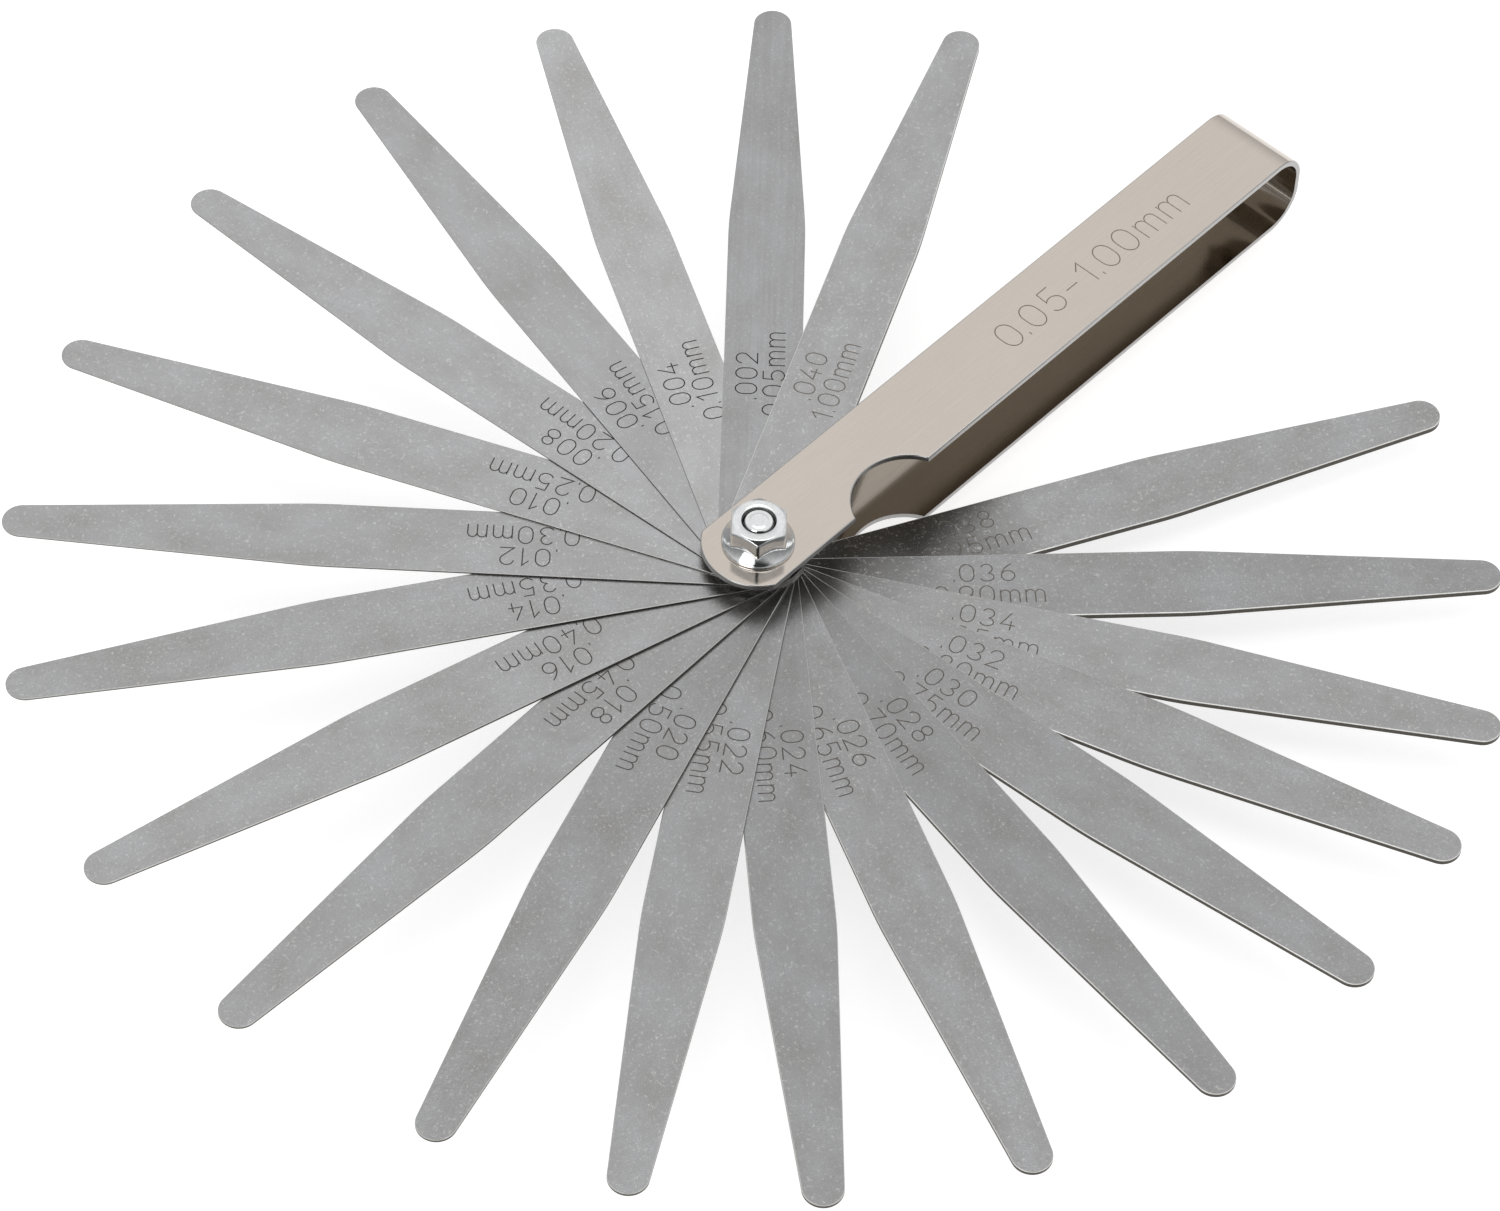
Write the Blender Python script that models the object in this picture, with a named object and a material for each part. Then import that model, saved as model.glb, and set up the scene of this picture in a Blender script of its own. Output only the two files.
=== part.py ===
"""Feeler gauge: twenty spring steel leaves that turn on one bolt in a folded steel holder.

The pivot axis is Z. The holder lies along +X, and the origin is the middle of the bolt head's
flat underside. All driving dimensions are in metres.
"""

import math

import bmesh
import bpy
from mathutils import Matrix, Vector

MM = 0.001

# Leaves, in the order they lie on the bolt from the top down: the thickest guards the thinnest.
LEAF_STEP = 0.05 * MM
LEAF_COUNT = 20
LEAF_LENGTH = 100 * MM          # over all, heel to tip
LEAF_HEEL_RADIUS = 6 * MM       # the heel is an arc about the pivot
LEAF_HALF_WIDTH = 5 * MM
LEAF_TIP_RADIUS = 2.5 * MM
LEAF_TAPER_START = 55 * MM      # from the pivot
LEAF_KNEE = 2.5 * MM            # length over which the side turns into the taper
LEAF_BORE_RADIUS = 2.05 * MM

# Where the fan lies at rest: degrees from the holder, counted counterclockwise, top leaf first.
FAN_ANGLES = (25.5, 41.5, 60, 76.5, 94, 113, 130.5, 146.5, 165, 181.5,
              199, 213.5, 227.5, 243, 258.5, 273.5, 287.5, 300, 315.5, 333)

# Holder: a strip folded into a U.
STRIP = 0.8 * MM
HOLDER_HALF_WIDTH = 6.2 * MM
HOLDER_LENGTH = 99.2 * MM       # pivot to the outside of the loop
HOLDER_END_RADIUS = 7.15 * MM   # the free ends of the legs are arcs about the pivot
BEND_RADIUS = 4.6 * MM          # of the strip's middle layer at both corners of the loop
HOLDER_BORE_RADIUS = 2.05 * MM
NOTCH_RADIUS = 7.5 * MM
NOTCH_CENTRE = Vector((18 * MM, -9.3 * MM, 0))

# Bolt and flange nut, M4.
BOLT_RADIUS = 1.95 * MM
BOLT_END_RADIUS = 1.7 * MM
BOLT_END_CHAMFER = 0.25 * MM
ACROSS_FLATS = 6.8 * MM
HEAD_HEIGHT = 2.8 * MM
HEAD_ANGLE = 11                 # degrees, direction of one corner of the head
NUT_HEIGHT = 4.1 * MM
NUT_ANGLE = 41                  # degrees, direction of one corner of the nut
NUT_BORE_RADIUS = 2.05 * MM
NUT_SINK_RADIUS = 2.2 * MM
FLANGE_RADIUS = 4.6 * MM
FLANGE_RIM = 0.5 * MM
FLANGE_CONE_TOP = 1.7 * MM
FLANGE_CONE_RADIUS = 3.3 * MM
CORNER_CHAMFER = math.radians(30)

# Flat faces that press on each other keep this gap.
FACE_GAP = 0.01 * MM

LEG_BOTTOM = HEAD_HEIGHT + FACE_GAP
STACK_BOTTOM = LEG_BOTTOM + STRIP + FACE_GAP
LEAF_TOTAL = LEAF_STEP * LEAF_COUNT * (LEAF_COUNT + 1) / 2
STACK_HEIGHT = LEAF_TOTAL + FACE_GAP * (LEAF_COUNT - 1)
TOP_LEG_BOTTOM = STACK_BOTTOM + STACK_HEIGHT + FACE_GAP
NUT_BOTTOM = TOP_LEG_BOTTOM + STRIP + FACE_GAP
NUT_TOP = NUT_BOTTOM + NUT_HEIGHT


def clear_scene():
    for old in list(bpy.data.objects):
        bpy.data.objects.remove(old, do_unlink=True)


def material(name, colour, roughness, metallic=1.0):
    made = bpy.data.materials.new(name)
    made.use_nodes = True
    shader = made.node_tree.nodes["Principled BSDF"]
    shader.inputs["Base Color"].default_value = (*colour, 1)
    shader.inputs["Roughness"].default_value = roughness
    shader.inputs["Metallic"].default_value = metallic
    return made


def add_object(name, shape, finish=None):
    """Turn a finished bmesh into an object with outward normals."""
    bmesh.ops.recalc_face_normals(shape, faces=shape.faces[:])
    mesh = bpy.data.meshes.new(name)
    shape.to_mesh(mesh)
    shape.free()
    made = bpy.data.objects.new(name, mesh)
    if finish:
        mesh.materials.append(finish)
    bpy.context.collection.objects.link(made)
    return made


def smooth(made, degrees=25):
    made.data.shade_smooth()
    made.data.set_sharp_from_angle(angle=math.radians(degrees))


def arc(centre, radius, start, end, steps):
    """Points in the XY plane from one angle to another, both ends included."""
    points = []
    for i in range(steps + 1):
        angle = start + (end - start) * i / steps
        points.append(Vector((centre[0] + radius * math.cos(angle),
                              centre[1] + radius * math.sin(angle), 0)))
    return points


def add_loop(shape, points):
    """Add a closed ring of edges through the points."""
    corners = [shape.verts.new(p) for p in points]
    return [shape.edges.new((corners[i - 1], corners[i])) for i in range(len(corners))]


def cut(target, cutter, operation="DIFFERENCE"):
    """Shape the target with a hidden cutter that stays in the scene as a guide."""
    cutter.hide_render = True
    cutter.display_type = "WIRE"
    step = target.modifiers.new(cutter.name, "BOOLEAN")
    step.operation = operation
    step.solver = "EXACT"
    step.object = cutter


def turned(name, profile, steps=48, finish=None):
    """Spin a profile of (radius, height) points round Z into a closed solid.

    The first and the last point lie on the axis, and the others lie off it.
    """
    shape = bmesh.new()
    rings = []
    for radius, height in profile:
        if radius == 0:
            rings.append([shape.verts.new((0, 0, height))])
            continue
        ring = []
        for i in range(steps):
            angle = 2 * math.pi * i / steps
            ring.append(shape.verts.new((radius * math.cos(angle), radius * math.sin(angle), height)))
        rings.append(ring)
    for lower, upper in zip(rings, rings[1:]):
        for i in range(steps):
            if len(lower) == 1:
                corners = [lower[0], upper[i], upper[i - 1]]
            elif len(upper) == 1:
                corners = [lower[i - 1], lower[i], upper[0]]
            else:
                corners = [lower[i - 1], lower[i], upper[i], upper[i - 1]]
            shape.faces.new(corners)
    return add_object(name, shape, finish)


def drill(name, radius, steps):
    """A round cutter that reaches past both legs of the holder."""
    reach = NUT_TOP
    return turned(name, [(0, -reach), (radius, -reach), (radius, reach), (0, reach)], steps)


def hexagon(name, height, corner_angle, finish=None):
    """A six-sided prism that stands on Z = 0."""
    shape = bmesh.new()
    bmesh.ops.create_cone(shape, cap_ends=True, segments=6, depth=height,
                          radius1=ACROSS_FLATS / math.sqrt(3), radius2=ACROSS_FLATS / math.sqrt(3))
    bmesh.ops.translate(shape, verts=shape.verts[:], vec=(0, 0, height / 2))
    # create_cone puts its first corner on +Y.
    bmesh.ops.rotate(shape, verts=shape.verts[:], cent=(0, 0, 0),
                     matrix=Matrix.Rotation(math.radians(corner_angle - 90), 3, "Z"))
    return add_object(name, shape, finish)


def chamfer_envelope(name, low, high, chamfer_low=False):
    """A turned body that trims a hexagon's corners by 30 degrees at its top or at its bottom."""
    face_radius = ACROSS_FLATS / 2 * 0.95
    outside = ACROSS_FLATS * 0.7
    drop = (outside - face_radius) * math.tan(CORNER_CHAMFER)
    if chamfer_low:
        profile = [(0, low), (face_radius, low), (outside, low + drop), (outside, high), (0, high)]
    else:
        profile = [(0, low), (outside, low), (outside, high - drop), (face_radius, high), (0, high)]
    return turned(name, profile)


def leaf_outline():
    """One leaf, pivot at the origin and tip along +X, counterclockwise."""
    reach = LEAF_LENGTH - LEAF_HEEL_RADIUS
    tip_centre = Vector((reach - LEAF_TIP_RADIUS, 0, 0))
    knee = Vector((LEAF_TAPER_START, -LEAF_HALF_WIDTH, 0))
    # The taper runs from the knee to where it touches the tip's circle.
    span = tip_centre - knee
    bearing = math.atan2(span.y, span.x) - math.asin(LEAF_TIP_RADIUS / span.length)
    touch = bearing - math.pi / 2
    along = Vector((math.cos(bearing), math.sin(bearing), 0))
    heel_corner = math.asin(LEAF_HALF_WIDTH / LEAF_HEEL_RADIUS)
    lower_side = []
    for i in range(4):
        t = i / 3
        start = knee - Vector((LEAF_KNEE, 0, 0))
        end = knee + along * LEAF_KNEE
        lower_side.append(start * (1 - t) ** 2 + knee * 2 * t * (1 - t) + end * t ** 2)
    upper_side = [Vector((p.x, -p.y, 0)) for p in reversed(lower_side)]
    heel = arc((0, 0), LEAF_HEEL_RADIUS, math.pi - heel_corner, math.pi + heel_corner, 8)
    tip = arc(tip_centre, LEAF_TIP_RADIUS, touch, -touch, 10)
    return heel + lower_side + tip + upper_side


def leaf(name, thickness, bottom, angle, finish):
    shape = bmesh.new()
    edges = add_loop(shape, leaf_outline())
    edges += add_loop(shape, arc((0, 0), LEAF_BORE_RADIUS, 0, 2 * math.pi, 24)[:-1])
    bmesh.ops.triangle_fill(shape, edges=edges, use_beauty=True, use_dissolve=False)
    raised = bmesh.ops.extrude_face_region(shape, geom=shape.faces[:])
    lifted = [item for item in raised["geom"] if isinstance(item, bmesh.types.BMVert)]
    bmesh.ops.translate(shape, verts=lifted, vec=(0, 0, thickness))
    made = add_object(name, shape, finish)
    smooth(made)
    made.location.z = bottom
    made.rotation_euler.z = math.radians(angle)
    return made


def add_leaves(finish):
    """Stack the leaves from the top down: 1.00 mm, then 0.05, 0.10 ... 0.95 mm."""
    hundredths = [100] + [5 * (i + 1) for i in range(LEAF_COUNT - 1)]
    top = STACK_BOTTOM + STACK_HEIGHT
    for size, angle in zip(hundredths, FAN_ANGLES):
        thickness = size / 100 * MM
        leaf(f"leaf_{size:03d}", thickness, top - thickness, angle, finish)
        top -= thickness + FACE_GAP


def add_holder(finish):
    """Lay out the strip's middle layer as a bent sheet, thicken it, and cut bores and notches."""
    low = LEG_BOTTOM + STRIP / 2
    high = TOP_LEG_BOTTOM + STRIP / 2
    bend_x = HOLDER_LENGTH - STRIP / 2 - BEND_RADIUS
    quarter = 8
    lower_bend = arc((bend_x, low + BEND_RADIUS), BEND_RADIUS, -math.pi / 2, 0, quarter)
    upper_bend = arc((bend_x, high - BEND_RADIUS), BEND_RADIUS, 0, math.pi / 2, quarter)
    stations = [(p.x, p.y) for p in lower_bend + upper_bend]
    corner = math.asin(HOLDER_HALF_WIDTH / HOLDER_END_RADIUS)
    free_end = arc((0, 0), HOLDER_END_RADIUS, math.pi - corner, math.pi + corner, 20)

    shape = bmesh.new()
    rows = []
    for x, z in stations:
        rows.append([shape.verts.new((x, side * HOLDER_HALF_WIDTH, z)) for side in (-1, 1)])
    for near, far in zip(rows, rows[1:]):
        shape.faces.new([near[0], far[0], far[1], near[1]])
    for row, z in ((rows[0], low), (rows[-1], high)):
        end = [shape.verts.new((p.x, p.y, z)) for p in free_end]
        shape.faces.new([row[1]] + end + [row[0]])

    holder = add_object("holder", shape, finish)
    thicken = holder.modifiers.new("strip", "SOLIDIFY")
    thicken.thickness = STRIP
    thicken.offset = 0
    thicken.use_even_offset = True
    cut(holder, drill("holder_bore", HOLDER_BORE_RADIUS, 24))
    notch = drill("thumb_notch", NOTCH_RADIUS, 64)
    notch.location = NOTCH_CENTRE
    cut(holder, notch)
    smooth(holder)
    return holder


def add_bolt(finish):
    bolt = hexagon("bolt", HEAD_HEIGHT, HEAD_ANGLE, finish)
    cut(bolt, chamfer_envelope("head_trim", 0, HEAD_HEIGHT, chamfer_low=True), "INTERSECT")
    foot = HEAD_HEIGHT / 2
    shoulder = NUT_TOP - BOLT_END_CHAMFER
    shank = turned("shank", [(0, foot), (BOLT_RADIUS, foot), (BOLT_RADIUS, shoulder),
                             (BOLT_END_RADIUS, NUT_TOP), (0, NUT_TOP)], steps=32)
    cut(bolt, shank, "UNION")
    smooth(bolt)
    return bolt


def add_nut(finish):
    nut = hexagon("flange_nut", NUT_HEIGHT, NUT_ANGLE, finish)
    cut(nut, chamfer_envelope("nut_trim", 0, NUT_HEIGHT), "INTERSECT")
    flange = turned("flange", [(0, 0), (FLANGE_RADIUS, 0), (FLANGE_RADIUS, FLANGE_RIM),
                               (FLANGE_CONE_RADIUS, FLANGE_CONE_TOP), (0, FLANGE_CONE_TOP)])
    cut(nut, flange, "UNION")
    sink = NUT_SINK_RADIUS - NUT_BORE_RADIUS
    past = 1 * MM
    profile = [(0, -past), (NUT_BORE_RADIUS, -past), (NUT_BORE_RADIUS, NUT_HEIGHT - sink),
               (NUT_SINK_RADIUS + past, NUT_HEIGHT + past), (0, NUT_HEIGHT + past)]
    bore = turned("nut_bore", profile, steps=32)
    cut(nut, bore)
    smooth(nut)
    for piece in (nut, *[step.object for step in nut.modifiers]):
        piece.location.z += NUT_BOTTOM
    return nut


def build():
    clear_scene()
    spring_steel = material("spring_steel", (0.42, 0.42, 0.43), 0.34)
    nickel = material("brushed_nickel", (0.66, 0.62, 0.56), 0.24)
    zinc = material("bright_zinc", (0.80, 0.82, 0.83), 0.14)
    add_holder(nickel)
    add_leaves(spring_steel)
    add_bolt(zinc)
    add_nut(zinc)


build()
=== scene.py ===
"""Feeler gauge: the visible model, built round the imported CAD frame.

Twenty spring steel leaves with trimmed edges and engraved sizes turn on one bolt, between the
legs of a brushed steel strip folded into a U and under a bright flange nut. Shapes are worked
out in millimetres, in the frame of the CAD: the pivot axis is Z and the holder lies along +X.
"""

import math

import bmesh
import bpy
import numpy as np
from mathutils import Matrix, Vector
from mathutils.geometry import delaunay_2d_cdt


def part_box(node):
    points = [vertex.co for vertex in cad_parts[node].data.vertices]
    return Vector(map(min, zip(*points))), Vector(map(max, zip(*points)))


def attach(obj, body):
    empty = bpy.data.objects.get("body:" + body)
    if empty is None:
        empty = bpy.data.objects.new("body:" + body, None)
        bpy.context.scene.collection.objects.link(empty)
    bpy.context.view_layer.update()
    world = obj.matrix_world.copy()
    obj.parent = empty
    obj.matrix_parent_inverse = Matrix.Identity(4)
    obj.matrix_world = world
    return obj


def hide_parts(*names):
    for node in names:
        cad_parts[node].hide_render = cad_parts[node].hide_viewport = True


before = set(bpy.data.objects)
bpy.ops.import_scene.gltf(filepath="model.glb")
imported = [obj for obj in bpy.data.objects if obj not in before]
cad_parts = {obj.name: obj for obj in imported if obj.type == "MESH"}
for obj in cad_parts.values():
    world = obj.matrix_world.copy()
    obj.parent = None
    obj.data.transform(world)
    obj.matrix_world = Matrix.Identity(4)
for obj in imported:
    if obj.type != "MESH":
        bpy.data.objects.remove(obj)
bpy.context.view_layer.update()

MM = 0.001

# Leaves. Their heights and directions are read from the CAD solids.
LEAF_STEP = 5                   # from one leaf to the next, in hundredths of a millimetre
LEAF_REACH = 94.0               # pivot to tip
LEAF_HEEL_RADIUS = 6.0
LEAF_HALF_WIDTH = 5.0
LEAF_TIP_RADIUS = 2.5
LEAF_TAPER_START = 55.0
LEAF_KNEE = 2.5
LEAF_BORE_RADIUS = 2.05
LEAF_ROUNDING = 0.1             # the trimmed edge of a thick leaf
LEAF_ROUNDING_SHARE = 0.3       # of the thickness, on a thin leaf
LEAF_ROUNDING_STEPS = 2

# Grey of each leaf's rolled surface, thinnest first, from 0 to 1 as a screen shows it.
LEAF_GREYS = (0.618, 0.693, 0.651, 0.661, 0.653, 0.638, 0.626, 0.626, 0.601, 0.576,
              0.586, 0.563, 0.582, 0.556, 0.578, 0.602, 0.615, 0.587, 0.618, 0.645)

# Holder.
STRIP = 0.8
HOLDER_HALF_WIDTH = 6.2
HOLDER_LENGTH = 99.2
HOLDER_END_RADIUS = 7.15
HOLDER_BORE_RADIUS = 2.05
BEND_RADIUS = 4.6
NOTCH_RADIUS = 7.5
NOTCH_X = 18.0
NOTCH_Y = -9.3
HOLDER_ROUNDING = 0.16
INNER_ROUNDING = 0.04
HOLDER_ROUNDING_STEPS = 4
BEND_STEPS = 18
BEND_MARGIN = 0.4               # straight strip beside a bend that gets points of its own

# Bolt and flange nut.
BOLT_RADIUS = 1.95
BOLT_STEPS = 120
THREAD_PITCH = 0.7
THREAD_DEPTH = 0.3
THREAD_STEPS = 10               # in each turn
GROOVE_HALF_WIDTH = 0.42        # of the pitch
THREAD_RUNOUT = 0.6             # from the last turn to the bolt's end
HIDDEN_THREAD = 1.2             # below the nut
END_CHAMFER = 0.4
HEAD_GAP = 0.01                 # between the head and the lower leg
ACROSS_FLATS = 6.8
CORNER_ROUNDING = 0.3
HEAD_ANGLE = 11
NUT_ANGLE = 41
NUT_BORE_RADIUS = 2.05
NUT_STEPS = 180
SINK_RADIUS = 2.2
FLANGE_RADIUS = 4.6
FLANGE_RIM = 0.42
BELL_TOP = 2.0                  # height above the flange's underside where the bell meets a flat
CHAMFER_START = ACROSS_FLATS / 2 * 0.95
CHAMFER_SLOPE = math.tan(math.radians(30))
EDGE_BREAK = 0.02               # how far a chamfer's first edge is worn down

# Engraving: the height of a figure, the distance between figures, and the line.
FIGURE_HEIGHT = 2.72
FIGURE_GAP = 0.30               # of the height
LINE_WIDTH = 0.16
LINE_DEPTH = 0.03
LINE_DEPTH_SHARE = 0.4          # of the thickness, on a thin leaf
LINE_SLACK = 0.02               # share of a line's depth and width that counts as nothing
INCH_START = 25.1
INCH_BASELINE = 0.72
METRIC_START = 22.25
METRIC_BASELINE = -2.77
RANGE_HEIGHT = 4.0
RANGE_DEPTH = 0.05
RANGE_START = 46.0
RANGE_BASELINE = -1.9

# Meshes.
CHORD_SHARE = 0.998             # a bore's ring of chords lies outside this share of its radius
MERGE_DISTANCE = 1e-4

# Finishes. Lengths are in millimetres.
EVEN = (1, 1, 1)
FLECK_SIZE = 0.55
# Painted shade round the pivot of the thickest leaves, where the holder darkens them: the size of its
# ragged border, and where it fades.
PIVOT_SHADE_SIZE = 8.0
PIVOT_SHADES = {95: (26, 42), 90: (12, 30), 85: (10, 26)}     # leaf: where its painted shade round the pivot starts to fade and ends
TRIMMED_DARK = (0.72, 0.71, 0.69)
TRIMMED_LIGHT = (1, 0.99, 0.97)
HOLDER_SATIN = (0.585, 0.53, 0.475)

# Studio. A level of 1 shows as white.
HORIZON_LEVEL = 0.18
FAR_HORIZON_LEVEL = 0.6         # behind the object
ZENITH_LEVEL = 1.03
SHADE_LEVEL = 0.05              # share of the light that comes from where the photographer stands
PANEL_LEVEL = 3.0
PANEL_TURN = -30                # degrees round from the camera
PANEL_ELEVATION = 24
LAMP_PLACE = (0.05, 0.05, 1.2)  # metres
LAMP_SIZE = (0.8, 0.8)
LAMP_POWER = 2
FLOOR_REACH = 4.0               # metres
FLOOR_DARK = (0.48, 0.48, 0.48)
FLOOR_LIGHT = (0.51, 0.51, 0.51)
FLOOR_MOTTLE = 80               # millimetres
FLOOR_GLOW = 0.72

# Camera. Angles are in degrees and lengths in millimetres.
CAMERA_AZIMUTH = -48.97
CAMERA_ELEVATION = 51.19
CAMERA_ROLL = 2.28
CAMERA_DISTANCE = 696.0
CAMERA_TARGET = (-4.46, -2.96, 9.0)
CAMERA_LENS = 134.67
SENSOR_WIDTH = 36.0

# Which finish each face of a piece takes.
FACE, ROUND, SIDE, ENGRAVED, UNDERSIDE = range(5)


# ---------------------------------------------------------------- outlines

def arc(centre, radii, start, end, steps):
    """Points on an ellipse's arc from one angle to another, in degrees, both ends included."""
    points = []
    for i in range(steps + 1):
        angle = math.radians(start + (end - start) * i / steps)
        points.append(Vector((centre[0] + radii[0] * math.cos(angle),
                              centre[1] + radii[1] * math.sin(angle))))
    return points


def circle_hole(centre, radius, steps=64):
    """A clockwise ring, so that the material lies on its left."""
    return arc(centre, (radius, radius), 360, 0, steps)[:-1]


def quadratic(start, control, end, steps):
    points = []
    for i in range(steps + 1):
        t = i / steps
        points.append(start * (1 - t) ** 2 + control * 2 * t * (1 - t) + end * t ** 2)
    return points


def inset(loop, distance):
    """Move a loop's sides to their left by a distance, with mitred corners."""
    moved = []
    for before, point, after in zip(loop[-1:] + loop[:-1], loop, loop[1:] + loop[:1]):
        arriving = (point - before).normalized()
        leaving = (after - point).normalized()
        left = Vector((-leaving.y, leaving.x))
        middle = (Vector((-arriving.y, arriving.x)) + left).normalized()
        moved.append(point + middle * (distance / middle.dot(left)))
    return moved


# ---------------------------------------------------------------- figures

def figure_strokes():
    """Lines of each character, one unit high, and its width."""
    wide = 0.65
    half = wide / 2
    nought = arc((half, 0.62), (half, 0.38), 0, 180, 12) + arc((half, 0.38), (half, 0.38), 180, 360, 12)
    nought.append(nought[0])
    two = arc((0.31, 0.70), (0.31, 0.30), 172, -38, 12) + [Vector((0.0, 0)), Vector((0.64, 0))]
    three = arc((0.30, 0.74), (0.27, 0.26), 155, -90, 11)
    three += arc((0.30, 0.24), (0.32, 0.24), 90, -155, 12)[1:]
    five = [Vector((0.58, 1)), Vector((0.12, 1))] + arc((0.31, 0.31), (0.33, 0.31), 133, -150, 13)
    bowl = arc((half, 0.30), (0.31, 0.30), 160, 520, 20)
    bowl[-1] = bowl[0]
    hook = quadratic(Vector((0.50, 1)), Vector((0.10, 0.76)), bowl[0], 6)
    eight_low = arc((half, 0.26), (0.31, 0.26), 0, 360, 20)
    eight_low[-1] = eight_low[0]
    eight_high = arc((half, 0.76), (0.26, 0.24), 0, 360, 18)
    eight_high[-1] = eight_high[0]
    arch = arc((0.2175, 0.50), (0.2175, 0.23), 180, 0, 8)
    foot = Vector((0.435, 0))
    shift = Vector((0.435, 0))
    turned = [[Vector((wide - p.x, 1 - p.y)) for p in line] for line in (bowl, hook)]
    return {
        "0": (wide, [nought]),
        "1": (0.40, [[Vector((0.02, 0.74)), Vector((0.30, 1)), Vector((0.30, 0))]]),
        "2": (wide, [two]),
        "3": (wide, [three]),
        "4": (wide, [[Vector((0.40, 1)), Vector((0, 0.28)), Vector((wide, 0.28))],
                     [Vector((0.46, 0.52)), Vector((0.46, 0))]]),
        "5": (wide, [five]),
        "6": (wide, [bowl, hook]),
        "7": (wide, [[Vector((0.02, 1)), Vector((0.63, 1)), Vector((0.2, 0))]]),
        "8": (wide, [eight_low, eight_high]),
        "9": (wide, turned),
        "m": (0.87, [[Vector((0, 0)), Vector((0, 0.73))], arch + [foot],
                     [p + shift for p in arch] + [foot + shift]]),
        ".": (-0.08, [[Vector((-0.07, 0)), Vector((-0.07, 0.1))]]),
        "-": (0.5, [[Vector((0, 0.42)), Vector((0.5, 0.42))]]),
    }


FIGURES = figure_strokes()


def write(text, start, baseline, height):
    """Centre lines of a row of characters that reads along +X."""
    lines = []
    x = start
    for character in text:
        width, strokes = FIGURES[character]
        for stroke in strokes:
            lines.append([Vector((x + p.x * height, baseline + p.y * height)) for p in stroke])
        x += (width + FIGURE_GAP) * height
    return lines


def rails(line, half_width):
    """Both sides of an engraved line, mitred at its bends, and pointed caps where it ends."""
    closed = line[0] == line[-1]
    points = line[:-1] if closed else line
    sides = []
    for sign in (1, -1):
        side = []
        for i, point in enumerate(points):
            before = points[i - 1] if i or closed else None
            after = points[(i + 1) % len(points)] if closed or i < len(points) - 1 else None
            arriving = (point - before).normalized() if before else None
            leaving = (after - point).normalized() if after else arriving
            arriving = arriving or leaving
            left = Vector((-leaving.y, leaving.x))
            middle = (Vector((-arriving.y, arriving.x)) + left).normalized()
            side.append(point + middle * (sign * half_width / middle.dot(left)))
        sides.append(side)
    if closed:
        return [(sides[0], True), (sides[1], True)]
    first = points[0] - (points[1] - points[0]).normalized() * half_width
    last = points[-1] + (points[-1] - points[-2]).normalized() * half_width
    return [([first] + sides[0] + [last] + sides[1][::-1], True)]


def distance_to_lines(points, lines):
    """Distance from each point to the nearest line, as an array."""
    starts = np.array([p[:] for line in lines for p in line[:-1]])
    ends = np.array([p[:] for line in lines for p in line[1:]])
    spans = ends - starts
    squares = np.maximum((spans ** 2).sum(1), 1e-12)
    away = points[:, None, :] - starts[None]
    along = np.clip((away * spans).sum(2) / squares, 0, 1)
    return np.linalg.norm(away - along[..., None] * spans, axis=2).min(1)


# ---------------------------------------------------------------- plates

def triangulate(loops, chains, openings):
    """Fill the area inside the loops, following every chain, and leave the openings out.

    An opening is a centre and a radius just inside its ring's chords.
    """
    points = []
    edges = []
    for chain, closed in [(loop, True) for loop in loops] + chains:
        first = len(points)
        points += chain
        edges += [(first + i, first + i + 1) for i in range(len(chain) - 1)]
        if closed:
            edges.append((len(points) - 1, first))
    corners, _, faces, *_ = delaunay_2d_cdt(points, edges, [], 1, 1e-6)
    kept = []
    for face in faces:
        middle = sum((corners[i] for i in face), Vector((0, 0))) / len(face)
        if all((middle - Vector(centre)).length > radius for centre, radius in openings):
            kept.append(face)
    return corners, kept


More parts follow.
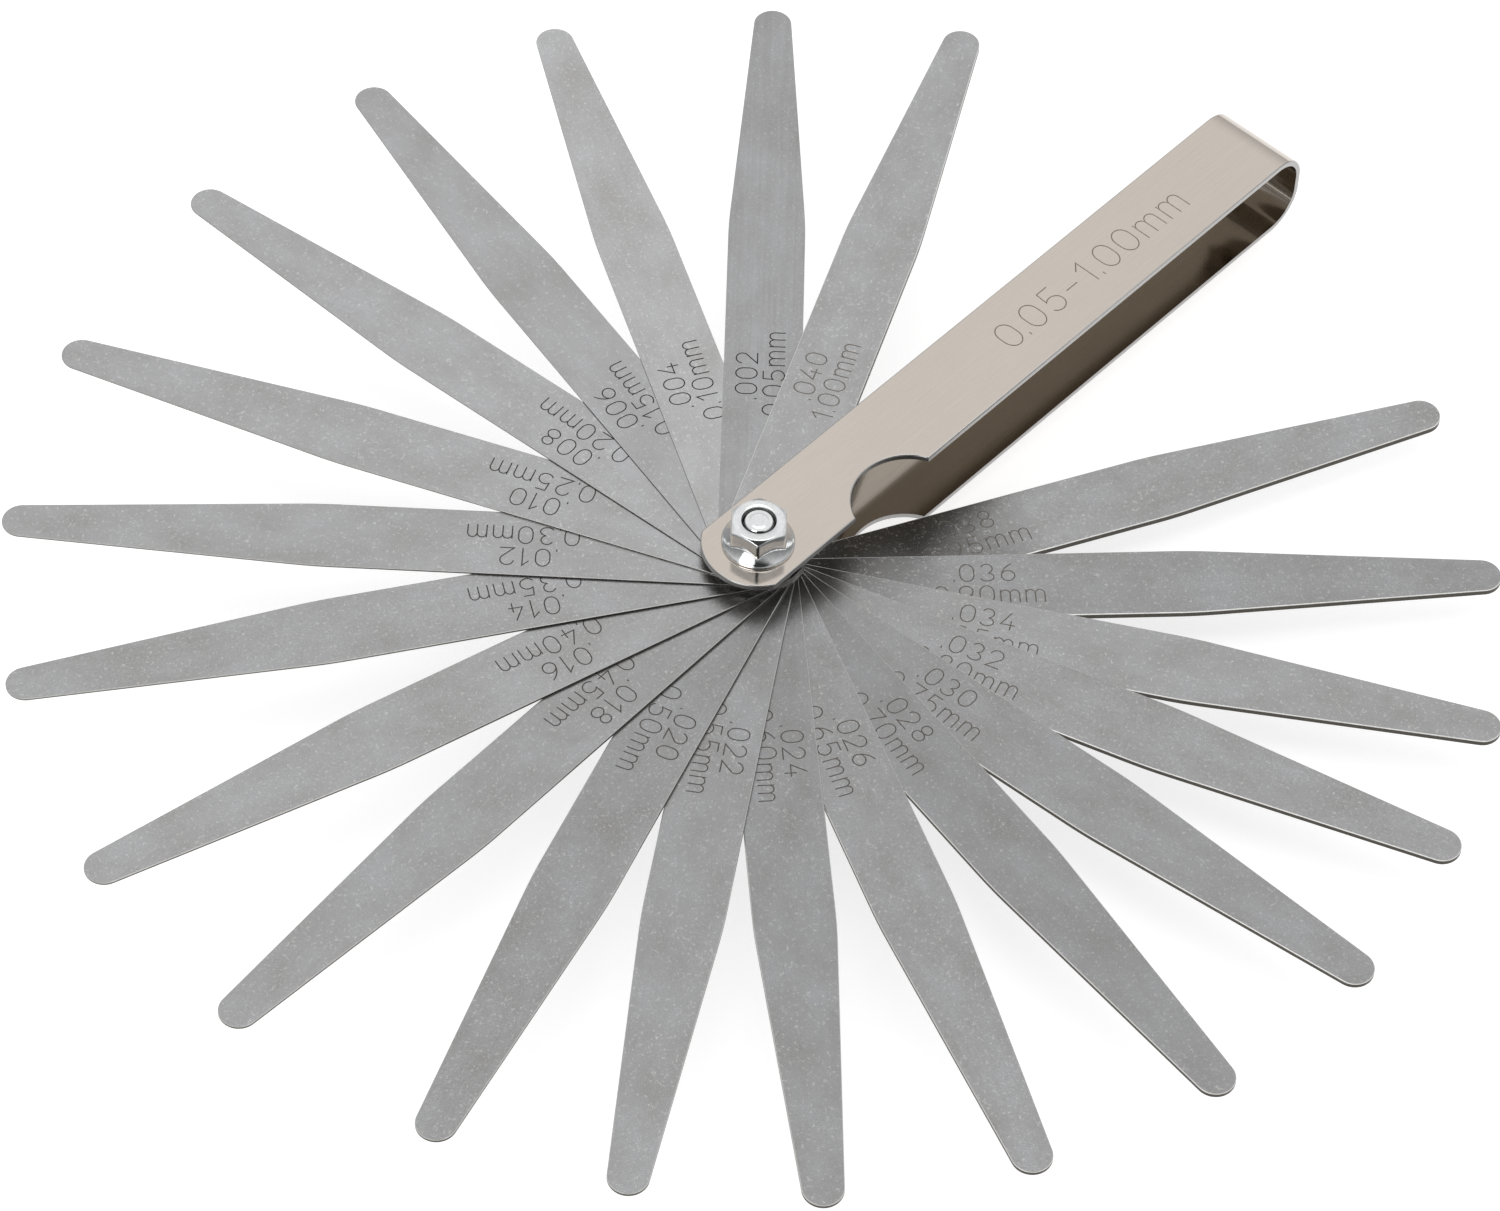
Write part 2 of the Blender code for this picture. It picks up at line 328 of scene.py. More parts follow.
def plate(outline, bores, thickness, roundings, steps, lines=(), line_depth=0.0, ribs=()):
    """A flat plate with rounded edges and engraved lines, from Z = 0 to its thickness.

    Roundings are the radii of the upper and of the lower edge. Ribs are lines across the plate
    along which it may later bend.
    """
    shape = bmesh.new()
    loops = [outline] + [circle_hole(centre, radius) for centre, radius in bores]
    turns = [math.pi / 2 * i / steps for i in range(steps + 1)]
    upper, lower = [[(size * (1 - math.sin(a)), size * (1 - math.cos(a))) for a in turns]
                    for size in roundings]
    levels = [(shift, thickness - drop) for shift, drop in upper] + lower[::-1]
    for loop in loops:
        rings = []
        for shift, height in levels:
            rings.append([shape.verts.new((*p, height)) for p in inset(loop, shift)])
        for k, (high, low) in enumerate(zip(rings, rings[1:])):
            for i in range(len(loop)):
                side = shape.faces.new([low[i - 1], low[i], high[i], high[i - 1]])
                rounded = k < steps or (k > steps and roundings[0] == roundings[1])
                side.material_index = ROUND if rounded else SIDE

    half_line = LINE_WIDTH / 2
    rib_chains = [(rib, False) for rib in ribs]
    line_chains = []
    for line in lines:
        line_chains += rails(line, half_line)
        line_chains.append((line, False))
    for top in (True, False):
        chains = rib_chains + line_chains if top else rib_chains
        rounding = roundings[0 if top else 1]
        edge_loops = [inset(loop, rounding) for loop in loops]
        openings = [(centre, (radius + rounding) * CHORD_SHARE) for centre, radius in bores]
        corners, faces = triangulate(edge_loops, chains, openings)
        depths = np.zeros(len(corners))
        middles = np.array([sum((corners[i] for i in face), Vector((0, 0)))[:] for face in faces]) / 3
        cut = np.zeros(len(faces), bool)
        if top and lines:
            flat = np.array([c[:] for c in corners])
            depths = np.clip(1 - distance_to_lines(flat, lines) / half_line, 0, 1) * line_depth
            depths[depths < line_depth * LINE_SLACK] = 0
            cut = distance_to_lines(middles, lines) < half_line * (1 - LINE_SLACK)
        made = [shape.verts.new((*c, thickness - d if top else 0.0)) for c, d in zip(corners, depths)]
        for face, engraved in zip(faces, cut):
            order = face if top else face[::-1]
            filled = shape.faces.new([made[i] for i in order])
            if top:
                filled.material_index = ENGRAVED if engraved else FACE
            else:
                filled.material_index = UNDERSIDE
    bmesh.ops.remove_doubles(shape, verts=shape.verts[:], dist=MERGE_DISTANCE)
    return shape


def finish_piece(name, shape, materials, smooth_below, bend=None):
    """Turn a bmesh in millimetres into an object in metres, and keep its flat coordinates.

    The attribute "flat" holds each point's place before bending, for grain that follows the strip.
    """
    flat = [v.co * MM for v in shape.verts]
    if bend:
        for v in shape.verts:
            v.co = bend(v.co)
    bmesh.ops.scale(shape, vec=(MM, MM, MM), verts=shape.verts[:])
    bmesh.ops.recalc_face_normals(shape, faces=shape.faces[:])
    for face in shape.faces:
        face.smooth = True
    for edge in shape.edges:
        kinds = {face.material_index for face in edge.link_faces}
        edge.smooth = len(kinds) == 1 and edge.calc_face_angle(0.0) < math.radians(smooth_below)
    mesh = bpy.data.meshes.new(name)
    shape.to_mesh(mesh)
    shape.free()
    place = mesh.attributes.new("flat", "FLOAT_VECTOR", "POINT")
    place.data.foreach_set("vector", [c for p in flat for c in p])
    for finish in materials:
        mesh.materials.append(finish)
    made = bpy.data.objects.new(name, mesh)
    bpy.context.collection.objects.link(made)
    return made


# ---------------------------------------------------------------- materials

def node(tree, kind, sockets=(), **settings):
    """Add a shader node, set its settings, and set or link its inputs."""
    made = tree.nodes.new(kind)
    for name, value in settings.items():
        setattr(made, name, value)
    for socket, value in sockets:
        if isinstance(value, bpy.types.NodeSocket):
            tree.links.new(value, made.inputs[socket])
        else:
            made.inputs[socket].default_value = value
    return made


def maths(tree, operation, *numbers):
    """Result of one operation on numbers, which may be the outputs of nodes."""
    return node(tree, "ShaderNodeMath", enumerate(numbers), operation=operation).outputs[0]


def remap(tree, value, start, end, smooth=False):
    """Carry a value over from one range to another, and hold it at the ends."""
    made = node(tree, "ShaderNodeMapRange", [
        ("Value", value), ("From Min", start[0]), ("From Max", start[1]),
        ("To Min", end[0]), ("To Max", end[1])],
        interpolation_type="SMOOTHSTEP" if smooth else "LINEAR")
    return made.outputs["Result"]


def noise(tree, place, stretch, size, detail=3.0, seed=0.0):
    """Noise with features of a size in millimetres, stretched along the axes of the piece."""
    mapped = node(tree, "ShaderNodeMapping", [
        ("Vector", place), ("Location", (seed, seed * 0.7, seed * 1.3)),
        ("Scale", tuple(1 / (size * MM * s) for s in stretch))])
    made = node(tree, "ShaderNodeTexNoise", [
        ("Vector", mapped.outputs["Vector"]), ("Scale", 1.0), ("Detail", detail), ("Roughness", 0.6)])
    return made.outputs["Fac"]


def mixed(tree, parts):
    """Weighted sum of noises about a half, as a number between 0 and 1."""
    total = 0.5
    for source, weight in parts:
        total = maths(tree, "MULTIPLY_ADD", maths(tree, "SUBTRACT", source, 0.5), weight, total)
    return remap(tree, total, (0.0, 1.0), (0.0, 1.0))


def mix_colours(tree, factor, first, second):
    """Blend of two colours, each given as red, green and blue or as the output of a node."""
    made = node(tree, "ShaderNodeMix", [("Factor", factor)], data_type="RGBA")
    for socket, colour in ((made.inputs[6], first), (made.inputs[7], second)):
        if isinstance(colour, bpy.types.NodeSocket):
            tree.links.new(colour, socket)
        else:
            socket.default_value = (*colour, 1)
    return made.outputs[2]


def flecks(tree, place, seed):
    """Short curved scratches: thin contour lines of one noise, kept where another is high."""
    winding = noise(tree, place, EVEN, FLECK_SIZE, 2.0, seed)
    gap = maths(tree, "ABSOLUTE", maths(tree, "SUBTRACT", winding, 0.5))
    thin = remap(tree, gap, (0.0, 0.06), (1.0, 0.0))
    patch = noise(tree, place, EVEN, FLECK_SIZE * 0.8, 1.0, seed + 50)
    chosen = remap(tree, patch, (0.54, 0.70), (0.0, 1.0))
    return maths(tree, "MULTIPLY", thin, chosen)


def pivot_shade(tree, place, start, end, seed):
    """Painted shade: 1 near the pivot and 0 further out, with a ragged border between start and end, in
    mm.
    """
    along = node(tree, "ShaderNodeSeparateXYZ", [("Vector", place)]).outputs["X"]
    ragged = noise(tree, place, EVEN, PIVOT_SHADE_SIZE, seed=seed)
    shifted = maths(tree, "MULTIPLY_ADD", ragged, PIVOT_SHADE_SIZE * MM, along)
    return remap(tree, shifted, (start * MM, end * MM), (1.0, 0.0))


def metal(name, dark, light, rough, layers, bump, seed=0.0, attribute="flat", fleck=None, pivot_shaded=None):
    """Metal whose colour runs from dark to light, and whose roughness varies, with layered noise.

    A layer is (size in mm, stretch, weight in the colour, weight in the relief). A fleck colour
    adds fine scratches. The last argument says where painted shade round the pivot starts to fade and
    ends.
    """
    made = bpy.data.materials.new(name)
    made.use_nodes = True
    tree = made.node_tree
    shader = tree.nodes["Principled BSDF"]
    if attribute:
        place = node(tree, "ShaderNodeAttribute", attribute_name=attribute).outputs["Vector"]
    else:
        place = node(tree, "ShaderNodeTexCoord").outputs["Object"]
    sources = [noise(tree, place, stretch, size, seed=seed + 3.7 * i)
               for i, (size, stretch, _, _) in enumerate(layers)]
    tint = mixed(tree, [(source, layer[2]) for source, layer in zip(sources, layers)])
    relief = mixed(tree, [(source, layer[3]) for source, layer in zip(sources, layers)])
    colour = mix_colours(tree, tint, dark, light)
    # Painted shade: the colour darkens round the pivot, where the holder shades the leaf.
    if pivot_shaded:
        colour = mix_colours(tree, pivot_shade(tree, place, *pivot_shaded, seed + 60), colour, scaled(dark, 0.45))
    if fleck:
        colour = mix_colours(tree, flecks(tree, place, seed), colour, fleck)
    gloss = remap(tree, tint, (0.0, 1.0), (rough[1], rough[0]))
    height = node(tree, "ShaderNodeBump", [("Strength", 1.0), ("Distance", bump * MM), ("Height", relief)])
    tree.links.new(colour, shader.inputs["Base Color"])
    tree.links.new(gloss, shader.inputs["Roughness"])
    tree.links.new(height.outputs["Normal"], shader.inputs["Normal"])
    shader.inputs["Metallic"].default_value = 1.0
    return made


def linear(grey):
    """Reflectance of a grey given as a screen shows it."""
    return grey ** 2.2


def scaled(colour, factor):
    return tuple(min(c * factor, 1.0) for c in colour)


def mixed_colour(first, second, share):
    return tuple(a + (b - a) * share for a, b in zip(first, second))


# ---------------------------------------------------------------- leaves

def leaf_outline():
    """One leaf, pivot at the origin and tip along +X, counterclockwise."""
    tip = Vector((LEAF_REACH - LEAF_TIP_RADIUS, 0))
    knee = Vector((LEAF_TAPER_START, -LEAF_HALF_WIDTH))
    span = tip - knee
    bearing = math.atan2(span.y, span.x) - math.asin(LEAF_TIP_RADIUS / span.length)
    along = Vector((math.cos(bearing), math.sin(bearing)))
    lower = quadratic(knee - Vector((LEAF_KNEE, 0)), knee, knee + along * LEAF_KNEE, 6)
    upper = [Vector((p.x, -p.y)) for p in reversed(lower)]
    corner = math.degrees(math.asin(LEAF_HALF_WIDTH / LEAF_HEEL_RADIUS))
    heel = arc((0, 0), (LEAF_HEEL_RADIUS, LEAF_HEEL_RADIUS), 180 - corner, 180 + corner, 24)
    touch = math.degrees(bearing) - 90
    end = arc(tip, (LEAF_TIP_RADIUS, LEAF_TIP_RADIUS), touch, -touch, 28)
    return heel + lower + end + upper


def leaf_finishes(size, grey):
    """Finishes of one leaf: the rolled face, the trimmed edge, the cut side and the engraving."""
    tone = linear(grey)
    seed = size * 0.31
    thinnest = size == LEAF_STEP
    coarse = min(1.0, 0.45 + size / 70)
    layers = [
        (0.15, EVEN, 1.7 * coarse, 1.3),
        (1.1, EVEN, 0.35 * coarse, 0.25),
        (6.0, (1.6, 1, 1), 1.15, 0.0),
        (0.35, (60, 1, 1), 0.7 if thinnest else 0.2, 0.5 if thinnest else 0.2),
    ]
    warm = (tone * 0.80, tone * 0.782, tone * 0.76)
    cool = (tone * 1.19, tone * 1.205, tone * 1.24)
    fleck = (tone * 1.6, tone * 1.6, tone * 1.58)
    # The thickest leaves also get painted shade round the pivot.
    steel = metal(f"rolled_steel_{size:03d}", warm, cool, (0.25, 0.33), layers, 0.012, seed,
                  fleck=mixed_colour(cool, fleck, coarse), pivot_shaded=PIVOT_SHADES.get(size))
    trim = 0.28 + 0.55 * size / 100
    edge = metal(f"trimmed_edge_{size:03d}", scaled(TRIMMED_DARK, trim), scaled(TRIMMED_LIGHT, trim),
                 (0.2, 0.3), [(0.3, (4, 1, 1), 1.0, 0.5)], 0.004, seed + 11)
    # The cut side is painted dark: partly the sheared steel's own dull colour, partly a painted dark
    # reflection of the shaded surroundings below.
    side = metal(f"cut_side_{size:03d}", (0.04, 0.036, 0.03), (0.115, 0.106, 0.09), (0.34, 0.5),
                 [(0.25, (0.4, 1, 6), 0.9, 0.8)], 0.01, seed + 23)
    ink = 0.03 + 0.13 * size / 100
    ink_dark = (ink * 0.7, ink * 0.62, ink * 0.54)
    ink_light = (ink * 1.7, ink * 1.58, ink * 1.45)
    mark = metal(f"engraved_{size:03d}", ink_dark, ink_light, (0.5, 0.65), [(0.5, EVEN, 1.2, 1.0)],
                 0.01, seed + 37)
    return [steel, edge, side, mark, steel]


def leaf_angle(cad_node):
    """Direction of a leaf, read from the point of its CAD solid that lies furthest from the pivot."""
    tip = max((v.co for v in cad_node.data.vertices), key=lambda p: p.xy.length)
    return math.atan2(tip.y, tip.x)


def add_leaves():
    outline = leaf_outline()
    for index, grey in enumerate(LEAF_GREYS):
        size = LEAF_STEP * (index + 1)
        body = f"leaf_{size:03d}"
        low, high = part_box(body)
        thickness = (high[2] - low[2]) / MM
        lines = write(f".{2 * (index + 1):03d}", INCH_START, INCH_BASELINE, FIGURE_HEIGHT)
        lines += write(f"{size / 100:.2f}mm", METRIC_START, METRIC_BASELINE, FIGURE_HEIGHT)
        rounding = min(LEAF_ROUNDING, LEAF_ROUNDING_SHARE * thickness)
        shape = plate(outline, [((0, 0), LEAF_BORE_RADIUS)], thickness, (rounding, rounding),
                      LEAF_ROUNDING_STEPS, lines, min(LINE_DEPTH, LINE_DEPTH_SHARE * thickness))
        leaf = finish_piece(f"blade_{size:03d}", shape, leaf_finishes(size, grey), smooth_below=30)
        leaf.location.z = low[2]
        leaf.rotation_euler.z = leaf_angle(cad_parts[body])
        bpy.context.view_layer.update()
        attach(leaf, body)
        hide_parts(body)


# ---------------------------------------------------------------- holder

class Strip:
    """The holder's strip laid flat: S runs from the upper pivot, round the loop, to the lower one."""

    def __init__(self, low, high):
        self.low = low                              # heights of the strip's middle layer
        self.high = high
        self.leg = HOLDER_LENGTH - STRIP / 2 - BEND_RADIUS
        self.quarter = BEND_RADIUS * math.pi / 2
        self.back = high - low - 2 * BEND_RADIUS
        self.lower_bend = self.leg + self.quarter + self.back
        self.length = self.lower_bend + self.quarter + self.leg

    def ribs(self, steps):
        """Places along S where the strip needs a row of points, so that it can bend."""
        places = [self.leg - BEND_MARGIN, self.lower_bend + self.quarter + BEND_MARGIN]
        for start in (self.leg, self.lower_bend):
            places += [start + self.quarter * i / steps for i in range(steps + 1)]
        return sorted(places)

    def bent(self, point):
        """Where a point of the flat strip goes: S along it, Y across it, Z up from its inner face."""
        s, y, out = point.x, point.y, point.z - STRIP / 2
        radius = BEND_RADIUS + out
        if s < self.leg:
            return Vector((s, y, self.high + out))
        if s < self.leg + self.quarter:
            turn = (s - self.leg) / BEND_RADIUS
            return Vector((self.leg + radius * math.sin(turn), y,
                           self.high - BEND_RADIUS + radius * math.cos(turn)))
        if s < self.lower_bend:
            return Vector((self.leg + radius, y, self.high - BEND_RADIUS - (s - self.leg - self.quarter)))
        if s < self.lower_bend + self.quarter:
            turn = (s - self.lower_bend) / BEND_RADIUS
            return Vector((self.leg + radius * math.cos(turn), y,
                           self.low + BEND_RADIUS - radius * math.sin(turn)))
        return Vector((self.length - s, y, self.low - out))


def holder_outline(strip, ribs):
    """The flat strip, counterclockwise: round ends about both pivots, and a notch at each."""
    corner = math.degrees(math.asin(HOLDER_HALF_WIDTH / HOLDER_END_RADIUS))
    ends = (HOLDER_END_RADIUS, HOLDER_END_RADIUS)
    rise = -HOLDER_HALF_WIDTH - NOTCH_Y
    open_half = math.degrees(math.acos(rise / NOTCH_RADIUS))
    notch = arc((NOTCH_X, NOTCH_Y), (NOTCH_RADIUS, NOTCH_RADIUS), 90 + open_half, 90 - open_half, 48)
    far_notch = [Vector((strip.length - p.x, p.y)) for p in reversed(notch)]
    near_end = arc((0, 0), ends, 180 - corner, 180 + corner, 40)
    far_end = arc((strip.length, 0), ends, -corner, corner, 40)
    lower_side = [Vector((s, -HOLDER_HALF_WIDTH)) for s in ribs]
    upper_side = [Vector((s, HOLDER_HALF_WIDTH)) for s in reversed(ribs)]
    return near_end + notch + lower_side + far_notch + far_end + upper_side


def holder_finishes():
    grain = [
        (0.1, (60, 1, 1), 0.8, 0.9),
        (0.4, (150, 1, 1), 0.26, 0.15),
        (9.0, (2, 1, 1), 0.35, 0.0),
        (0.16, EVEN, 0.35, 0.3),
    ]
    outside = metal("holder_satin", scaled(HOLDER_SATIN, 0.87), scaled(HOLDER_SATIN, 1.05), (0.08, 0.14),
                    grain, 0.0025)
    # The inner faces of the fold are painted darker than the outside: painted shade inside the U.
    inside = metal("holder_inside_painted_shade", (0.25, 0.22, 0.183), (0.36, 0.32, 0.275), (0.07, 0.13),
                   grain, 0.0015, 5)
    rounded = metal("holder_edge", (0.32, 0.315, 0.305), (0.50, 0.49, 0.48), (0.14, 0.22),
                    [(0.3, (5, 1, 1), 0.8, 0.6)], 0.004, 9)
    side = metal("holder_cut", (0.34, 0.335, 0.33), (0.50, 0.49, 0.48), (0.24, 0.36),
                 [(0.2, (0.6, 1, 5), 0.9, 0.9)], 0.01, 13)
    mark = metal("holder_engraving", (0.20, 0.175, 0.15), (0.36, 0.325, 0.29), (0.3, 0.42),
                 [(0.5, EVEN, 1.0, 1.0)], 0.01, 17)
    return [outside, rounded, side, mark, inside]


def add_holder():
    low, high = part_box("holder")
    strip = Strip(low[2] / MM + STRIP / 2, high[2] / MM - STRIP / 2)
    ribs = strip.ribs(BEND_STEPS)
    reach = HOLDER_HALF_WIDTH - HOLDER_ROUNDING
    rows = [[Vector((s, -reach)), Vector((s, reach))] for s in ribs]
    bores = [((0, 0), HOLDER_BORE_RADIUS), ((strip.length, 0), HOLDER_BORE_RADIUS)]
    lines = write("0.05-1.00mm", RANGE_START, RANGE_BASELINE, RANGE_HEIGHT)
    roundings = (HOLDER_ROUNDING, INNER_ROUNDING)
    shape = plate(holder_outline(strip, ribs), bores, STRIP, roundings, HOLDER_ROUNDING_STEPS,
                  lines, RANGE_DEPTH, rows)
    holder = finish_piece("folded_holder", shape, holder_finishes(), smooth_below=35, bend=strip.bent)
    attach(holder, "frame")
    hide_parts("holder")


# ---------------------------------------------------------------- bolt and nut

def hexagon_radius(angle):
    """Distance from the axis to a side or a rounded corner. A corner lies at angle 0."""
    apothem = ACROSS_FLATS / 2
    sixth = math.pi / 6
    off_middle = abs(angle % (2 * sixth) - sixth)
    centre_x = apothem - CORNER_ROUNDING
    centre_y = centre_x * math.tan(sixth)
    if off_middle <= math.atan(centre_y / apothem):
        return apothem / math.cos(off_middle)
    reach = math.hypot(centre_x, centre_y)
    slant = sixth - off_middle
    return reach * math.cos(slant) + math.sqrt(CORNER_ROUNDING ** 2 - (reach * math.sin(slant)) ** 2)


def swept(profile, steps, closed, threaded):
    """Join the profiles at equal angles round Z. Open profiles end in a flat disc on the axis.

    The faces that start where threaded(radius, height) holds take the second finish, a darker one painted
    as shade.
    """
    shape = bmesh.new()
    columns = []
    for i in range(steps):
        angle = 2 * math.pi * i / steps
        column = []
        for radius, height in profile(angle):
            column.append(shape.verts.new((radius * math.cos(angle), radius * math.sin(angle), height)))
        columns.append(column)
    count = len(columns[0])
    thread = {k for k, (radius, height) in enumerate(profile(0)) if threaded(radius, height)}
    for i in range(steps):
        near, far = columns[i - 1], columns[i]
        for k in range(count if closed else count - 1):
            face = shape.faces.new([near[k], far[k], far[(k + 1) % count], near[(k + 1) % count]])
            face.material_index = 1 if k in thread else 0
    if not closed:
        for k in (0, -1):
            bmesh.ops.contextual_create(shape, geom=[column[k] for column in columns])
    return shape


def spread(start, end, steps):
    """Values from start to end, both included."""
    return [start + (end - start) * i / steps for i in range(steps + 1)]


def chamfered_end(outer):
    """Radii from a hexagon's end, over its chamfer, to its side, each with its depth behind the end."""
    drop = (outer - CHAMFER_START) * CHAMFER_SLOPE
    points = [(CHAMFER_START - 0.12, 0.0), (CHAMFER_START, EDGE_BREAK)]
    for radius in spread(CHAMFER_START + 0.05, outer - 0.06, 4):
        points.append((radius, EDGE_BREAK + (radius - CHAMFER_START) * CHAMFER_SLOPE))
    return points + [(outer - 0.015, 0.045 + drop), (outer, 0.11 + drop)]


def nut_profile(bottom, top):
    """Half section of the flange nut at an angle, from the bore's foot up and round to it again."""
    height = top - bottom

    def bell(radius):
        share = (FLANGE_RADIUS - radius) / (FLANGE_RADIUS - ACROSS_FLATS / 2)
        return FLANGE_RIM + (BELL_TOP - FLANGE_RIM) * max(share, 0.0) ** 1.3

    def section(angle):
        outer = hexagon_radius(angle - math.radians(NUT_ANGLE))
        sink = SINK_RADIUS - NUT_BORE_RADIUS
        points = [(NUT_BORE_RADIUS, 0.15), (NUT_BORE_RADIUS, height - sink - 0.25)]
        points += [(NUT_BORE_RADIUS + 0.02, height - sink - 0.2), (SINK_RADIUS, height - 0.03)]
        points.append((SINK_RADIUS + 0.05, height))
        points += [(radius, height - depth) for radius, depth in chamfered_end(outer)]
        flat_top = points[-1][1]
        flat_foot = bell(outer) + 0.12
        points += [(outer, z) for z in spread(flat_top, flat_foot, 4)[1:]]
        points.append((outer + 0.02, bell(outer) + 0.04))
        rim = FLANGE_RADIUS - 0.12
        for radius in spread(outer + 0.08, rim, 9):
            points.append((radius, bell(radius)))
        points += [(FLANGE_RADIUS - 0.035, FLANGE_RIM - 0.03), (FLANGE_RADIUS, FLANGE_RIM - 0.12)]
        points += [(FLANGE_RADIUS, 0.12), (FLANGE_RADIUS - 0.035, 0.035), (FLANGE_RADIUS - 0.12, 0)]
        points += [(SINK_RADIUS, 0)]
        return [(radius, bottom + z) for radius, z in points]

    return section


def bolt_profile(bottom, head_top, top, thread_start):
    """Half section of the bolt at an angle, from the middle of its head to the middle of its end."""
    turns = (top - THREAD_RUNOUT - thread_start) / THREAD_PITCH

    def section(angle):
        outer = hexagon_radius(angle - math.radians(HEAD_ANGLE))
        points = [(0.4, bottom + 0.12), (1.7, bottom + 0.12), (2.1, bottom + 0.02), (2.2, bottom)]
        points += [(radius, bottom + depth) for radius, depth in chamfered_end(outer)]
        points += [(outer, head_top - 0.12), (outer - 0.035, head_top - 0.035), (outer - 0.12, head_top)]
        points += [(BOLT_RADIUS + 0.03, head_top), (BOLT_RADIUS, head_top + 0.05)]
        points.append((BOLT_RADIUS, thread_start))
        for i in range(1, int(turns * THREAD_STEPS)):
            z = thread_start + i * THREAD_PITCH / THREAD_STEPS
            phase = (z / THREAD_PITCH - angle / (2 * math.pi)) % 1
            groove = max(0.0, 1 - abs(phase - 0.5) / GROOVE_HALF_WIDTH)
            fade = min(1.0, i / (2 * THREAD_STEPS))
            points.append((BOLT_RADIUS - THREAD_DEPTH * groove * fade, z))
        points += [(1.90, top - 0.5), (1.80, top - END_CHAMFER), (1.78, top - 0.2), (1.68, top - 0.1)]
        points += [(1.32, top - 0.09), (1.2, top - 0.07), (1.08, top - 0.01), (1.0, top), (0.3, top)]
        return points

    return section


def bolt_finishes():
    layers = [
        (0.5, EVEN, 0.8, 0.6),
        (0.12, EVEN, 0.5, 0.5),
        (1.6, EVEN, 0.5, 0.5),
    ]
    plated = metal("bright_zinc_plate", (0.56, 0.575, 0.58), (0.90, 0.91, 0.915), (0.04, 0.09),
                   layers, 0.009, attribute=None)
    # Painted shade: the thread and the nut's bore take a darker zinc, standing in for the shade in these
    # recesses.
    shaded = metal("thread_zinc_painted_shade", (0.22, 0.22, 0.22), (0.48, 0.48, 0.475), (0.18, 0.3),
                   layers, 0.012, attribute=None)
    return [plated, shaded]


def add_bolt_and_nut():
    finishes = bolt_finishes()
    low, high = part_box("flange_nut")
    nut_bottom, nut_top = low[2] / MM, high[2] / MM
    shape = swept(nut_profile(nut_bottom, nut_top), NUT_STEPS, True,
                  lambda radius, _: radius < NUT_BORE_RADIUS + 0.05)
    nut = finish_piece("hex_flange_nut", shape, finishes, smooth_below=32)
    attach(nut, "frame")
    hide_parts("flange_nut")

    low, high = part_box("bolt")
    head_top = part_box("holder")[0][2] / MM - HEAD_GAP
    bolt_top = high[2] / MM
    thread_start = nut_bottom - HIDDEN_THREAD
    section = bolt_profile(low[2] / MM, head_top, bolt_top, thread_start)
    shape = swept(section, BOLT_STEPS, False,
                  lambda _, height: thread_start < height < bolt_top - END_CHAMFER)
    bolt = finish_piece("hex_bolt", shape, finishes, smooth_below=32)
    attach(bolt, "frame")
    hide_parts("bolt")


# ---------------------------------------------------------------- studio

def add_floor():
    shape = bmesh.new()
    bmesh.ops.create_grid(shape, x_segments=8, y_segments=8, size=FLOOR_REACH)
    mesh = bpy.data.meshes.new("floor")
    shape.to_mesh(mesh)
    shape.free()
    floor = bpy.data.objects.new("floor", mesh)
    bpy.context.collection.objects.link(floor)
    made = bpy.data.materials.new("pale_floor")
    made.use_nodes = True
    tree = made.node_tree
    shader = tree.nodes["Principled BSDF"]
    place = node(tree, "ShaderNodeTexCoord").outputs["Object"]
    mottle = mixed(tree, [(noise(tree, place, EVEN, FLOOR_MOTTLE), 0.6)])
    colour = mix_colours(tree, mottle, FLOOR_DARK, FLOOR_LIGHT)
    tree.links.new(colour, shader.inputs["Base Color"])
    shader.inputs["Roughness"].default_value = 0.8
    shader.inputs["Specular IOR Level"].default_value = 0.1
    shader.inputs["Emission Color"].default_value = (1, 1, 1, 1)
    shader.inputs["Emission Strength"].default_value = FLOOR_GLOW
    mesh.materials.append(made)


def alignment(tree, direction, axis):
    """Cosine of the angle between a direction and an axis."""
    return node(tree, "ShaderNodeVectorMath", [(0, direction), (1, axis)],
                operation="DOT_PRODUCT").outputs["Value"]


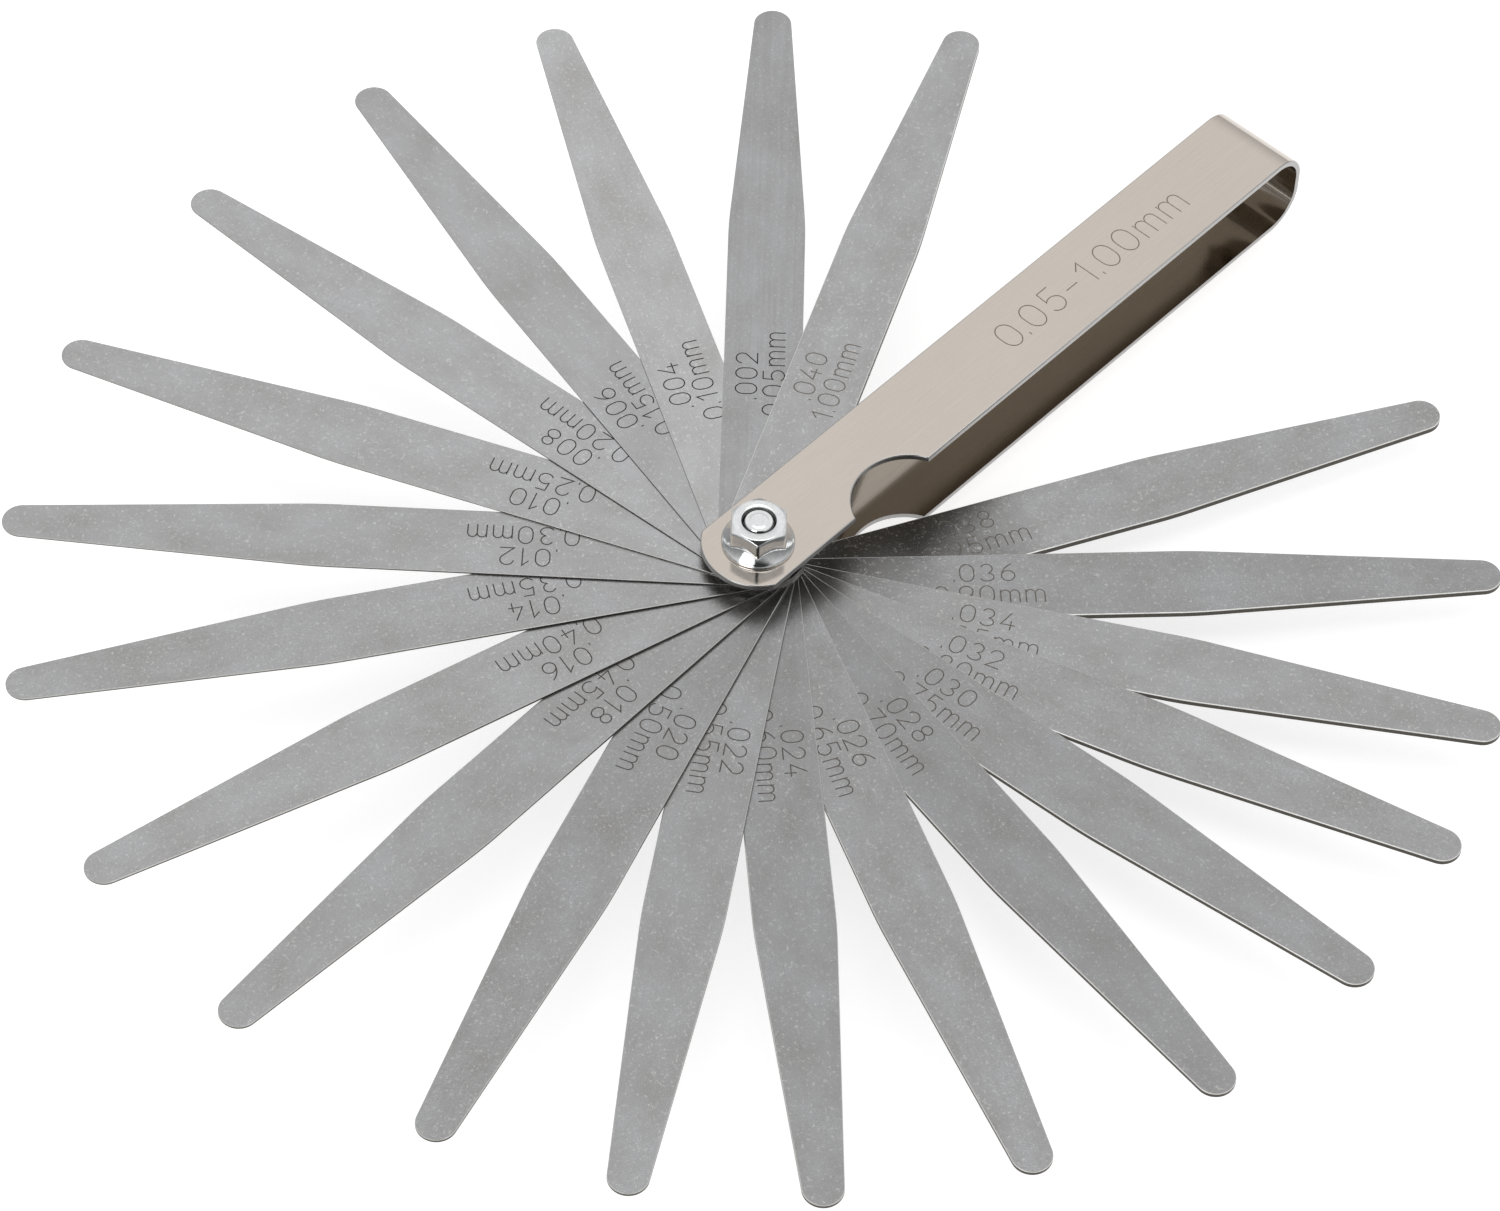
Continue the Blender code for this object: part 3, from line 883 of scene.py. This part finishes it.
def add_dome():
    """A pale studio, bright overhead, with a lit panel low on the photographer's left.

    It is darker where the photographer stands and at the horizon, though less so behind the object.
    """
    world = bpy.data.worlds.new("studio")
    bpy.context.scene.world = world
    world.use_nodes = True
    tree = world.node_tree
    direction = node(tree, "ShaderNodeTexCoord").outputs["Generated"]
    height = node(tree, "ShaderNodeSeparateXYZ", [("Vector", direction)]).outputs["Z"]
    behind = alignment(tree, direction, from_camera(180, 0))
    horizon = remap(tree, behind, (0.3, 0.8), (HORIZON_LEVEL, FAR_HORIZON_LEVEL))
    level = remap(tree, height, (0.0, 0.75), (horizon, ZENITH_LEVEL))
    toward = alignment(tree, direction, -view_direction())
    shade = remap(tree, toward, (0.72, 0.93), (1.0, SHADE_LEVEL), smooth=True)
    aside = alignment(tree, direction, from_camera(PANEL_TURN, PANEL_ELEVATION))
    panel = remap(tree, aside, (0.93, 0.96), (0.0, PANEL_LEVEL), smooth=True)
    strength = maths(tree, "MULTIPLY_ADD", level, shade, panel)
    backdrop = tree.nodes["Background"]
    backdrop.inputs["Color"].default_value = (1, 1, 1, 1)
    tree.links.new(strength, backdrop.inputs["Strength"])


def add_lamp(name, place, size, power):
    light = bpy.data.lights.new(name, "AREA")
    light.shape = "RECTANGLE"
    light.size, light.size_y = size
    light.energy = power
    lamp = bpy.data.objects.new(name, light)
    lamp.location = place
    lamp.rotation_euler = (-Vector(place)).to_track_quat("-Z", "Y").to_euler()
    bpy.context.collection.objects.link(lamp)


def from_camera(turn, elevation):
    """Direction from the object, so far round from the camera and so high, in degrees."""
    azimuth, elevation = math.radians(CAMERA_AZIMUTH + turn), math.radians(elevation)
    return Vector((math.sin(azimuth) * math.cos(elevation),
                   -math.cos(azimuth) * math.cos(elevation), math.sin(elevation)))


def view_direction():
    return -from_camera(0, CAMERA_ELEVATION)


def add_camera():
    azimuth, roll = math.radians(CAMERA_AZIMUTH), math.radians(CAMERA_ROLL)
    forward = view_direction()
    level_right = Vector((math.cos(azimuth), math.sin(azimuth), 0))
    level_up = level_right.cross(forward)
    right = level_right * math.cos(roll) + level_up * math.sin(roll)
    up = level_up * math.cos(roll) - level_right * math.sin(roll)
    turn = Matrix((right, up, -forward)).transposed().to_4x4()
    place = Vector(CAMERA_TARGET) * MM - forward * CAMERA_DISTANCE * MM
    data = bpy.data.cameras.new("camera")
    data.lens = CAMERA_LENS
    data.sensor_width = SENSOR_WIDTH
    camera = bpy.data.objects.new("camera", data)
    camera.matrix_world = Matrix.Translation(place) @ turn
    bpy.context.collection.objects.link(camera)
    bpy.context.scene.camera = camera


bpy.context.scene.view_settings.view_transform = "Standard"
add_camera()
add_dome()
add_lamp("overhead", LAMP_PLACE, LAMP_SIZE, LAMP_POWER)
add_floor()
add_leaves()
add_holder()
add_bolt_and_nut()
